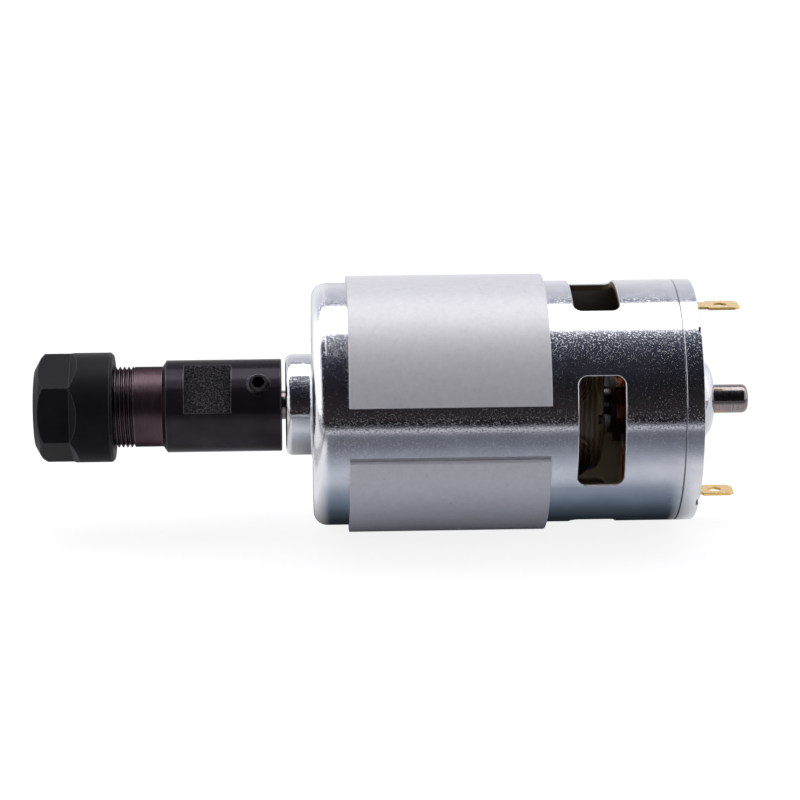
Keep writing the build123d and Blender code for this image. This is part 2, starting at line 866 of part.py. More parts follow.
bearing_sizes = {
    "front": (front_bearing_start, front_bearing_width, front_bearing_radius, front_ball_radius),
    "rear": (rear_bearing_start, rear_bearing_width, rear_bearing_radius, rear_ball_radius),
}
for end_name, sizes in bearing_sizes.items():
    for piece_name, piece in bearing(*sizes).items():
        save(f"{end_name}_{piece_name}", piece)

for side_name, side in (("top", 1), ("bottom", -1)):
    save(f"brush_{side_name}", on_brush_side(brush(), side))
    save(f"brush_holder_{side_name}", on_brush_side(brush_holder(), side))
    save(f"brush_spring_{side_name}", on_brush_side(brush_spring(), side))
    save(f"terminal_{side_name}", on_brush_side(terminal(), side))

save("shaft", shaft())
save("front_spacer", tube(front_bearing_end, fan_front, shaft_radius + press_gap, spacer_radius))
save("cooling_fan", cooling_fan())
save("armature_core", extrude(lateral(core_start) * lamination(core_radius), core_end - core_start))
save("end_insulators", end_insulators())
save("windings", windings())
save("commutator_hub", commutator_hub())
save("commutator_segments", commutator_segments())
save("rear_spacer", tube(commutator_end, rear_bearing_start, shaft_radius + press_gap, spacer_radius))

save("collet_holder", collet_holder())
save("set_screw_near", set_screw(flat_elevation))
save("set_screw_far", set_screw(flat_elevation + 180))
save("collet", collet())
save("collet_nut", collet_nut())
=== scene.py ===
import math
import bmesh
import bpy
from mathutils import Matrix, Vector


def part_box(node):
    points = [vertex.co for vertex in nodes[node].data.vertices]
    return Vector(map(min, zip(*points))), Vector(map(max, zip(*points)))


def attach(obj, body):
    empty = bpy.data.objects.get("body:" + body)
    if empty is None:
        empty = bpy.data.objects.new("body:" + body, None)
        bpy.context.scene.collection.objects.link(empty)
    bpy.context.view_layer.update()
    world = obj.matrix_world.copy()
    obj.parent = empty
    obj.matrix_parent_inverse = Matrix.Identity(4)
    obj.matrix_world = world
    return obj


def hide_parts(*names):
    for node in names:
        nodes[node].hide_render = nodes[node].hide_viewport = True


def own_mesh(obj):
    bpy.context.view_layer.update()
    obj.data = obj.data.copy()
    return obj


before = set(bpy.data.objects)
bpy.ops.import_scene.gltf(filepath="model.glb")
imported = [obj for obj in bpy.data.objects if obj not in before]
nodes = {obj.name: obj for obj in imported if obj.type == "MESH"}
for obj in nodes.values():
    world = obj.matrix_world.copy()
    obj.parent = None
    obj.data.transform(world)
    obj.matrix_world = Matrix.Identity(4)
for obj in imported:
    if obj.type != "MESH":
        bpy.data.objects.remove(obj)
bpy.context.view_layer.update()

# Motor can, end cover and bearing shields. Deep-drawn steel with bright zinc plate. The draw leaves an
# orange peel that breaks reflected edges into specks, and handling leaves small dents and hairlines.
# A pale matt rim round each window is a painted highlight, and the can's inside is painted darker as
# painted shade.
MM = 0.001
PEEL = 0.22 * MM
PEEL_DEPTH = 0.007 * MM
DENT = 0.3 * MM
DENT_DEPTH = 0.0185 * MM
HANDLING_PATCH = 7 * MM
SCRATCH_LENGTH = 11 * MM
SCRATCH_TURN = (0.3, 0.2, 0.5)
SCRATCH_STRETCH = (1, 2, 2)
SCRATCH_DULLNESS = 0.4
CAN_RADIUS = 21 * MM
WINDOW_START = 44.5 * MM
WINDOW_END = 52.4 * MM
RIM_DEPTH = 0.06 * MM
RIM_WIDTH = 0.32 * MM
SHADED_INSIDE_START = 6.6 * MM
SHADED_INSIDE_END = 58.4 * MM
MATT_DULLNESS = 0.4
MATT_METALLIC = 0.25
SEAM = 62.6 * MM
SEAM_WIDTH = 0.3 * MM
CORNER_FULL = 1.92 * MM
CORNER_END = 3.12 * MM
BOSS_CLEAR = 14.7 * MM
# Sockets of a colour mix: the colour below, the colour over it, and the result.
UNDER = 6
OVER = 7
MIXED = 2

def linear(colour):
    """Linear colour of an sRGB hex value."""
    parts = [int(colour[i:i + 2], 16) / 255 for i in (1, 3, 5)]
    return [p / 12.92 if p <= 0.04045 else ((p + 0.055) / 1.055) ** 2.4 for p in parts] + [1]


def add_node(material, kind, inputs=None, stops=(), **settings):
    """Adds a shader node with its settings and ramp stops, and fills or links its inputs."""
    tree = material.node_tree
    node = tree.nodes.new("ShaderNode" + kind)
    for name, value in settings.items():
        setattr(node, name, value)
    if stops:
        ramp = node.color_ramp.elements
        while len(ramp) < len(stops):
            ramp.new(1)
        for element, (place, colour) in zip(ramp, stops):
            element.position = place
            element.color = linear(colour) if isinstance(colour, str) else [colour] * 3 + [1]
    for name, value in (inputs or {}).items():
        socket = node.inputs[name]
        if isinstance(value, bpy.types.NodeSocket):
            tree.links.new(value, socket)
        else:
            socket.default_value = value
    return node


def new_material(name):
    """Empty material with its place on the object as a pattern source."""
    material = bpy.data.materials.new(name)
    material.use_nodes = True
    material.node_tree.nodes.clear()
    place = add_node(material, "TexCoord").outputs["Object"]
    return material, place


def close_material(material, shader):
    """Joins the shader to the material's output."""
    add_node(material, "OutputMaterial", {"Surface": shader.outputs[0]})
    return material


def dress(material, *names):
    """Gives CAD nodes their finish."""
    for name in names:
        for slot in nodes[name].material_slots:
            slot.material = material


def bright_zinc():
    """Zinc over drawn steel: mirror-like, with peel, small dents, dull patches and hairline scratches."""
    material, place = new_material("bright_zinc_plate")
    peel = add_node(
        material, "TexNoise", {"Vector": place, "Scale": 1 / PEEL, "Detail": 2.0, "Roughness": 0.6}
    )
    dent = add_node(
        material, "TexNoise", {"Vector": place, "Scale": 1 / DENT, "Detail": 3.0, "Roughness": 0.7}
    )
    pit = add_node(material, "ValToRGB", {"Fac": dent.outputs["Fac"]}, stops=((0.56, 0.0), (0.8, 1.0)))
    patch = add_node(
        material,
        "TexNoise",
        {"Vector": place, "Scale": 1 / HANDLING_PATCH, "Detail": 3.0, "Roughness": 0.55},
    )
    density = add_node(
        material,
        "MapRange",
        {"Value": patch.outputs["Fac"], "From Min": 0.4, "From Max": 0.62, "To Min": 1.0, "To Max": 0.8},
    )
    struck = add_node(
        material, "Math", {0: pit.outputs["Color"], 1: density.outputs[0]}, operation="MULTIPLY"
    )
    along = add_node(
        material, "Mapping", {"Vector": place, "Rotation": SCRATCH_TURN, "Scale": SCRATCH_STRETCH}
    )
    field = add_node(
        material,
        "TexNoise",
        {"Vector": along.outputs[0], "Scale": 1 / SCRATCH_LENGTH, "Detail": 1.0, "Distortion": 0.8},
    )
    hairline = add_node(
        material,
        "ValToRGB",
        {"Fac": field.outputs["Fac"]},
        stops=((0.494, 0.0), (0.5, 1.0), (0.506, 0.0), (0.556, 0.0), (0.56, 0.8), (0.564, 0.0)),
    )
    scratch = add_node(
        material, "Math", {0: hairline.outputs["Color"], 1: pit.outputs["Color"]}, operation="MULTIPLY"
    )
    tint = add_node(
        material,
        "ValToRGB",
        {"Fac": patch.outputs["Fac"]},
        stops=((0.3, "#cacbd0"), (0.55, "#d4d5da"), (0.75, "#dedfe3")),
    )
    dull = add_node(
        material, "ValToRGB", {"Fac": patch.outputs["Fac"]}, stops=((0.35, 0.07), (0.7, 0.13))
    )
    rough = add_node(
        material,
        "Math",
        {0: scratch.outputs[0], 1: SCRATCH_DULLNESS, 2: dull.outputs["Color"]},
        operation="MULTIPLY_ADD",
    )
    dented = add_node(
        material, "Bump", {"Height": struck.outputs[0], "Distance": DENT_DEPTH, "Strength": 1.0}
    )
    relief = add_node(
        material,
        "Bump",
        {
            "Height": peel.outputs["Fac"],
            "Distance": PEEL_DEPTH,
            "Strength": 1.0,
            "Normal": dented.outputs["Normal"],
        },
    )
    axes = add_node(material, "SeparateXYZ", {"Vector": place})
    across = add_node(material, "CombineXYZ", {"Y": axes.outputs["Y"], "Z": axes.outputs["Z"]})
    depth = add_node(material, "VectorMath", {0: across.outputs[0]}, operation="LENGTH")
    cut = add_node(
        material, "Math", {0: depth.outputs["Value"], 1: CAN_RADIUS - RIM_DEPTH}, operation="LESS_THAN"
    )
    from_window = add_node(
        material,
        "Math",
        {
            0: axes.outputs["X"],
            1: (WINDOW_START + WINDOW_END) / 2,
            2: (WINDOW_END - WINDOW_START) / 2 + RIM_DEPTH,
        },
        operation="COMPARE",
    )
    # Painted highlight: the outer part of each window's cut face is painted pale and made matt.
    rim_highlight = add_node(
        material, "Math", {0: cut.outputs[0], 1: from_window.outputs[0]}, operation="MULTIPLY"
    )
    # Painted shade: this marks the can's inside, which is painted dark.
    within = add_node(
        material, "Math", {0: depth.outputs["Value"], 1: CAN_RADIUS - RIM_WIDTH}, operation="LESS_THAN"
    )
    inner_length = add_node(
        material,
        "Math",
        {0: axes.outputs["X"], 1: (SHADED_INSIDE_START + SHADED_INSIDE_END) / 2, 2: (SHADED_INSIDE_END - SHADED_INSIDE_START) / 2},
        operation="COMPARE",
    )
    inside = add_node(
        material, "Math", {0: within.outputs[0], 1: inner_length.outputs[0]}, operation="MULTIPLY"
    )
    with_rim_highlight = add_node(
        material,
        "Mix",
        {"Factor": rim_highlight.outputs[0], UNDER: tint.outputs["Color"], OVER: linear("#f0f0f3")},
        data_type="RGBA",
    )
    # Painted shade: a grey line is painted along the seam at the cover's step.
    seam_shade = add_node(
        material, "Math", {0: axes.outputs["X"], 1: SEAM, 2: SEAM_WIDTH / 2}, operation="COMPARE"
    )
    with_seam_shade = add_node(
        material,
        "Mix",
        {"Factor": seam_shade.outputs[0], UNDER: with_rim_highlight.outputs[MIXED], OVER: linear("#a4a5ab")},
        data_type="RGBA",
    )
    # Painted highlight: the can's front corner, off the boss, is painted paler.
    to_front = add_node(
        material, "MapRange", {"Value": axes.outputs["X"], "From Min": CORNER_END, "From Max": CORNER_FULL}
    )
    off_boss = add_node(
        material, "Math", {0: depth.outputs["Value"], 1: BOSS_CLEAR}, operation="GREATER_THAN"
    )
    corner = add_node(
        material, "Math", {0: to_front.outputs[0], 1: off_boss.outputs[0]}, operation="MULTIPLY"
    )
    with_corner_highlight = add_node(
        material,
        "Mix",
        {"Factor": corner.outputs[0], UNDER: with_seam_shade.outputs[MIXED], OVER: linear("#eaeaee")},
        data_type="RGBA",
    )
    # Painted shade: the can's inside is painted dark olive-brown and made matt.
    colour = add_node(
        material,
        "Mix",
        {"Factor": inside.outputs[0], UNDER: with_corner_highlight.outputs[MIXED], OVER: linear("#6a5b43")},
        data_type="RGBA",
    )
    matt_part = add_node(
        material, "Math", {0: rim_highlight.outputs[0], 1: inside.outputs[0]}, operation="MAXIMUM"
    )
    metal_part = add_node(
        material, "MapRange", {"Value": matt_part.outputs[0], "To Min": 1.0, "To Max": MATT_METALLIC}
    )
    dull_part = add_node(
        material, "MapRange", {"Value": matt_part.outputs[0], "To Max": MATT_DULLNESS}
    )
    roughness = add_node(
        material, "Math", {0: rough.outputs[0], 1: dull_part.outputs[0]}, operation="ADD"
    )
    shader = add_node(
        material,
        "BsdfPrincipled",
        {
            "Base Color": colour.outputs[MIXED],
            "Metallic": metal_part.outputs[0],
            "Roughness": roughness.outputs[0],
            "Normal": relief.outputs["Normal"],
        },
    )
    return close_material(material, shader)


dress(bright_zinc(), "motor_can", "end_cover", "front_shields", "rear_shields")

# Flux ring. Strip steel rolled round the can, with a matt zinc plate.
# It looks like pale grey paint: an even tone, a faint sheen on top and sparse dark specks.
RING_GRAIN = 0.35 * MM
RING_SPECK = 1.1 * MM
RING_GRAIN_DEPTH = 0.006 * MM


def matt_zinc():
    """Matt zinc: mostly diffuse, with a broad weak sheen."""
    material, place = new_material("matt_zinc_plate")
    grain = add_node(
        material,
        "TexNoise",
        {"Vector": place, "Scale": 1 / RING_GRAIN, "Detail": 3.0, "Roughness": 0.65},
    )
    speck = add_node(
        material,
        "TexNoise",
        {"Vector": place, "Scale": 1 / RING_SPECK, "Detail": 4.0, "Roughness": 0.75},
    )
    tint = add_node(
        material,
        "ValToRGB",
        {"Fac": speck.outputs["Fac"]},
        stops=((0.2, "#a6a7ad"), (0.34, "#d7d6db"), (0.7, "#e0dfe3")),
    )
    relief = add_node(
        material, "Bump", {"Height": grain.outputs["Fac"], "Distance": RING_GRAIN_DEPTH, "Strength": 1.0}
    )
    shader = add_node(
        material,
        "BsdfPrincipled",
        {
            "Base Color": tint.outputs["Color"],
            "Metallic": 0.26,
            "Roughness": 0.47,
            "Normal": relief.outputs["Normal"],
        },
    )
    return close_material(material, shader)


dress(matt_zinc(), "flux_ring")

# Magnets and the spring clips between them. Sintered ferrite arcs, pushed apart by bent spring steel.
# Ferrite is dull charcoal with a chalky grain, drawn coarser than it is so that it shows, and the clips
# are smooth and grey.
FERRITE_GRAIN = 0.4 * MM
GRAIN_DEPTH = 0.02 * MM
ROLLING_MARK = 0.5 * MM
ROLLING_DEPTH = 0.004 * MM
ROUGHNESS_SPREAD = 0.2


def dull_mineral(name, dark, pale, grain_size, roughness):
    """Pressed or sintered mineral: dark, grainy and without shine."""
    material, place = new_material(name)
    grain = add_node(material, "TexNoise", {"Vector": place, "Scale": 1 / grain_size, "Detail": 4.0})
    tint = add_node(
        material, "ValToRGB", {"Fac": grain.outputs["Fac"]}, stops=((0.35, dark), (0.7, pale))
    )
    relief = add_node(material, "Bump", {"Height": grain.outputs["Fac"], "Distance": GRAIN_DEPTH})
    shader = add_node(
        material,
        "BsdfPrincipled",
        {
            "Base Color": tint.outputs["Color"],
            "Roughness": roughness,
            "Normal": relief.outputs["Normal"],
        },
    )
    return close_material(material, shader)


def worked_metal(name, dark, pale, roughness, mark_size, stretch, depth, metallic=1.0):
    """Metal with fine marks of its making, drawn out along X, Y and Z by the stretch."""
    material, place = new_material(name)
    along = add_node(material, "Mapping", {"Vector": place, "Scale": stretch})
    marks = add_node(
        material, "TexNoise", {"Vector": along.outputs[0], "Scale": 1 / mark_size, "Detail": 4.0}
    )
    tint = add_node(
        material, "ValToRGB", {"Fac": marks.outputs["Fac"]}, stops=((0.3, dark), (0.7, pale))
    )
    dull = add_node(
        material,
        "MapRange",
        {
            "Value": marks.outputs["Fac"],
            "From Min": 0.3,
            "From Max": 0.7,
            "To Min": roughness * (1 - ROUGHNESS_SPREAD),
            "To Max": roughness * (1 + ROUGHNESS_SPREAD),
        },
    )
    relief = add_node(material, "Bump", {"Height": marks.outputs["Fac"], "Distance": depth})
    shader = add_node(
        material,
        "BsdfPrincipled",
        {
            "Base Color": tint.outputs["Color"],
            "Metallic": metallic,
            "Roughness": dull.outputs[0],
            "Normal": relief.outputs["Normal"],
        },
    )
    return close_material(material, shader)


dress(
    dull_mineral("sintered_ferrite", "#1b1b1e", "#2c2c30", grain_size=FERRITE_GRAIN, roughness=0.75),
    "magnet_near", "magnet_far",
)
spring_steel = worked_metal(
    "rolled_spring_steel",
    "#6f7074",
    "#8f9094",
    roughness=0.3,
    mark_size=ROLLING_MARK,
    stretch=(1, 4, 4),
    depth=ROLLING_DEPTH,
)
dress(spring_steel, "magnet_clip_top", "magnet_clip_bottom")

# Shaft, bearing races and balls. Hardened steel, ground to size. Grinding leaves lines round the shaft,
# drawn coarser than they are so that they show, and oil and heat give it a faint brown tone.
GRINDING_LINE = 0.12 * MM
GRINDING_DEPTH = 0.002 * MM

ground_steel = worked_metal(
    "ground_steel",
    "#77706f",
    "#9b9291",
    roughness=0.16,
    mark_size=GRINDING_LINE,
    stretch=(1, 0.04, 0.04),
    depth=GRINDING_DEPTH,
)
dress(
    ground_steel, "shaft", "front_outer_race", "front_inner_race", "front_balls", "rear_outer_race",
    "rear_inner_race", "rear_balls",
)

# Fan, spacers and ball cages. Moulded nylon, ivory and slightly glossy.
# The mould leaves a faint ripple and the resin lets a little light in.
MOULD_RIPPLE = 2.5 * MM
RIPPLE_DEPTH = 0.03 * MM
LIGHT_REACH = 0.5 * MM


def moulded(name, dark, pale, roughness, light_depth=0.0):
    """Injection-moulded plastic with a slow change of tone."""
    material, place = new_material(name)
    ripple = add_node(material, "TexNoise", {"Vector": place, "Scale": 1 / MOULD_RIPPLE, "Detail": 2.0})
    tint = add_node(
        material, "ValToRGB", {"Fac": ripple.outputs["Fac"]}, stops=((0.35, dark), (0.65, pale))
    )
    relief = add_node(material, "Bump", {"Height": ripple.outputs["Fac"], "Distance": RIPPLE_DEPTH})
    shader = add_node(
        material,
        "BsdfPrincipled",
        {
            "Base Color": tint.outputs["Color"],
            "Roughness": roughness,
            "Subsurface Weight": light_depth,
            "Subsurface Scale": LIGHT_REACH,
            "Normal": relief.outputs["Normal"],
        },
    )
    return close_material(material, shader)


dress(
    moulded("ivory_nylon", "#c9c2ab", "#dcd6c2", roughness=0.4, light_depth=0.15),
    "cooling_fan", "front_spacer", "rear_spacer", "front_cage", "rear_cage",
)

# Armature core and its end plates. Stamped electrical steel, half a millimetre a sheet, between
# plates of varnished fibre. The stack shows fine rings round its rim.
SHEET_THICKNESS = 0.5 * MM
JOINT_SHARE = 0.14
JOINT_DEPTH = 0.05 * MM


def stacked_sheets():
    """Grey stamped sheets with a dark joint between each two."""
    material, place = new_material("stamped_core_sheets")
    across = add_node(material, "SeparateXYZ", {"Vector": place})
    sheets = add_node(
        material, "Math", {0: across.outputs["X"], 1: 1 / SHEET_THICKNESS}, operation="MULTIPLY"
    )
    step = add_node(material, "Math", {0: sheets.outputs[0]}, operation="FRACT")
    joint = add_node(
        material,
        "ValToRGB",
        {"Fac": step.outputs[0]},
        stops=((0.0, 0.0), (JOINT_SHARE, 1.0), (1 - JOINT_SHARE, 1.0), (1.0, 0.0)),
    )
    tint = add_node(
        material,
        "ValToRGB",
        {"Fac": joint.outputs["Color"]},
        stops=((0.0, "#1c1c1e"), (1.0, "#57585c")),
    )
    relief = add_node(material, "Bump", {"Height": joint.outputs["Color"], "Distance": JOINT_DEPTH})
    shader = add_node(
        material,
        "BsdfPrincipled",
        {
            "Base Color": tint.outputs["Color"],
            "Metallic": 1.0,
            "Roughness": 0.45,
            "Normal": relief.outputs["Normal"],
        },
    )
    return close_material(material, shader)


dress(stacked_sheets(), "armature_core")
dress(moulded("varnished_fibre", "#4a3f1c", "#63552a", roughness=0.35), "end_insulators")

# Windings. Enamelled copper wire on the core's teeth, brown with a faint gloss, in slots filled with
# varnish. At the back each coil crosses its tooth in arches of single wires, which show through the
# can's windows.
WIRE = 0.5 * MM
WIRE_SIDES = 6
WIRE_BAND = 6 * WIRE
WIRE_DEPTH = 0.05 * MM
ARCH_HEIGHTS = (12.0 * MM, 12.55 * MM)
ARCH_SMALLEST = 1.3 * MM
ARCH_LARGEST = 6.6 * MM
ARCH_PITCH = 1.08
ARCH_BULGE = 0.85
ARCH_STEPS = 14
COIL_COUNT = 5


def enamelled_wire():
    """Copper seen through dark amber enamel, its turns drawn coarser than the wire so that they show."""
    material, place = new_material("enamelled_copper_wire")
    turns = add_node(
        material, "TexWave", {"Vector": place, "Scale": 1 / WIRE_BAND, "Distortion": 3.0, "Detail": 1.0}
    )
    tint = add_node(
        material,
        "ValToRGB",
        {"Fac": turns.outputs["Fac"]},
        stops=((0.0, "#4c3f2b"), (0.6, "#6b5a3e"), (1.0, "#80694a")),
    )
    relief = add_node(material, "Bump", {"Height": turns.outputs["Fac"], "Distance": WIRE_DEPTH})
    shader = add_node(
        material,
        "BsdfPrincipled",
        {
            "Base Color": tint.outputs["Color"],
            "Metallic": 0.1,
            "Roughness": 0.45,
            "Coat Weight": 0.2,
            "Coat Roughness": 0.2,
            "Normal": relief.outputs["Normal"],
        },
    )
    return close_material(material, shader)


def add_piece(name, mesh_maker, material, body):
    """Turns a bmesh into a finished piece that rides on a body."""
    mesh = bpy.data.meshes.new(name)
    mesh_maker.to_mesh(mesh)
    mesh_maker.free()
    mesh.materials.append(material)
    piece = bpy.data.objects.new(name, mesh)
    bpy.context.scene.collection.objects.link(piece)
    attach(piece, body)
    return piece


def join_into(target, source):
    """Moves one bmesh into another."""
    passing = bpy.data.meshes.new("passing")
    source.to_mesh(passing)
    source.free()
    target.from_mesh(passing)
    bpy.data.meshes.remove(passing)


def wire_arch(reach, height, start):
    """One wire that leaves a slot, arches over its tooth's end and goes down into the next slot."""
    arch = bmesh.new()
    lying = Matrix.Rotation(math.pi / 2, 4, "Y")
    foot = Matrix.Translation((0, -reach, 0)) @ lying
    bmesh.ops.create_circle(arch, segments=WIRE_SIDES, radius=WIRE / 2, matrix=foot)
    bmesh.ops.spin(
        arch,
        geom=list(arch.verts) + list(arch.edges),
        axis=(0, 0, 1),
        angle=math.pi,
        steps=ARCH_STEPS,
    )
    bmesh.ops.scale(arch, vec=(ARCH_BULGE, 1, 1), verts=arch.verts)
    bmesh.ops.translate(arch, vec=(start, 0, height), verts=arch.verts)
    return arch


enamel = enamelled_wire()
dress(enamel, "windings")
core_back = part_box("end_insulators")[1].x
arches = bmesh.new()
for layer, height in enumerate(ARCH_HEIGHTS):
    reach = ARCH_SMALLEST + layer * WIRE / 2
    while reach < ARCH_LARGEST:
        for coil in range(COIL_COUNT):
            arch = wire_arch(reach, height, core_back)
            to_tooth = 2 * math.pi * coil / COIL_COUNT - math.pi / 2
            bmesh.ops.rotate(arch, matrix=Matrix.Rotation(to_tooth, 3, "X"), verts=arch.verts)
            join_into(arches, arch)
        reach += WIRE * ARCH_PITCH
bmesh.ops.recalc_face_normals(arches, faces=arches.faces)
add_piece("coil_arches", arches, enamel, "rotor")

# Commutator. Drawn copper bars moulded into a phenolic hub. The brushes rub dark and bright streaks
# round the bars, drawn coarser than they are so that they show.
BRUSH_LINE = 0.25 * MM
BRUSH_LINE_DEPTH = 0.004 * MM

dress(
    worked_metal(
        "worn_commutator_copper",
        "#7a4630",
        "#c17a58",
        roughness=0.3,
        mark_size=BRUSH_LINE,
        stretch=(1, 0.05, 0.05),
        depth=BRUSH_LINE_DEPTH,
    ),
    "commutator_segments",
)
phenolic = moulded("moulded_phenolic", "#16130f", "#221d16", roughness=0.45)
dress(phenolic, "commutator_hub")

# Brush card, brush holders, brushes and terminals. A moulded phenolic card carries folded brass boxes, in
# which blocks of pressed carbon slide, and the stamped brass tabs for the wires.
CARBON_GRAIN = 0.15 * MM
STAMPING_MARK = 0.35 * MM
STAMPING_DEPTH = 0.03 * MM

dress(phenolic, "brush_card")
dress(
    dull_mineral("pressed_carbon", "#131313", "#232324", grain_size=CARBON_GRAIN, roughness=0.6),
    "brush_top", "brush_bottom",
)
brass = worked_metal(
    "stamped_brass",
    "#dcae58",
    "#ffdf9c",
    roughness=0.2,
    mark_size=STAMPING_MARK,
    stretch=(1, 1, 1),
    depth=STAMPING_DEPTH,
    metallic=0.85,
)
dress(brass, "brush_holder_top", "brush_holder_bottom", "terminal_top", "terminal_bottom")

# Brush springs. Open coils of spring steel between each brush and the closed end of its box.
# A coil shortens as its brush slides back. Each piece is a copy of the coil, merged and smoothed, that
# rides on the motor body in the coil's place.
SAME_PLACE = 0.001 * MM

for name, joint, is_upper in (
    ("brush_spring_top", "upper_brush_slide", True),
    ("brush_spring_bottom", "lower_brush_slide", False),
):
    low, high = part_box(name)
    coil = bmesh.new()
    coil.from_mesh(nodes[name].data)
    bmesh.ops.remove_doubles(coil, verts=coil.verts, dist=SAME_PLACE)
    bmesh.ops.recalc_face_normals(coil, faces=coil.faces)
    for face in coil.faces:
        face.smooth = True
    spring = add_piece(f"{name}_coil", coil, spring_steel, "motor_body")
    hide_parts(name)
    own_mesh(spring)

# Collet holder. Turned steel with an oiled black oxide, deep black with a soft gloss.
# The slim neck and the thread took a thinner oxide and look brown where light catches them. The wrench
# flats are milled and show a sandy tool mark, and the edges are painted grey, partly wear and partly a
# painted highlight.
HOLDER_RADIUS = 8 * MM
SHOULDER = -25.2 * MM
SHOULDER_FADE = 0.2 * MM
# The turning lines and the milled grain are drawn coarser than they are so that they show.
TURNING_LINE = 0.16 * MM
TURNING_DEPTH = 0.004 * MM
MILLING_GRAIN = 0.26 * MM
MILLING_DEPTH = 0.06 * MM
OXIDE_CLOUD = 5 * MM
# A place this far below the round skin begins to be, and is, on a milled flat.
FLAT_BEGINS = 0.04 * MM
FLAT_FULL = 0.08 * MM
NECK_METALLIC = 0.85
SKIN_METALLIC = 0.6
MILLED_METALLIC = 0.25
NECK_DULLNESS = 0.12
MILLED_DULLNESS = 0.3
EDGE_WEAR_AND_GLINT = 0.16 * MM
EDGE_SAMPLES = 6
EDGE_BEGINS = 0.004
EDGE_FULL = 0.05


def edge_wear_and_glint(material):
    """How far a place lies on an edge painted grey, partly wear and partly a painted highlight, from the
    way the surface turns there.
    """
    surface = add_node(material, "NewGeometry")
    rounded = add_node(material, "Bevel", {"Radius": EDGE_WEAR_AND_GLINT}, samples=EDGE_SAMPLES)
    same = add_node(
        material,
        "VectorMath",
        {0: surface.outputs["Normal"], 1: rounded.outputs[0]},
        operation="DOT_PRODUCT",
    )
    wear_and_glint = add_node(
        material,
        "MapRange",
        {"Value": same.outputs["Value"], "From Min": 1 - EDGE_BEGINS, "From Max": 1 - EDGE_FULL},
    )
    return wear_and_glint.outputs[0]


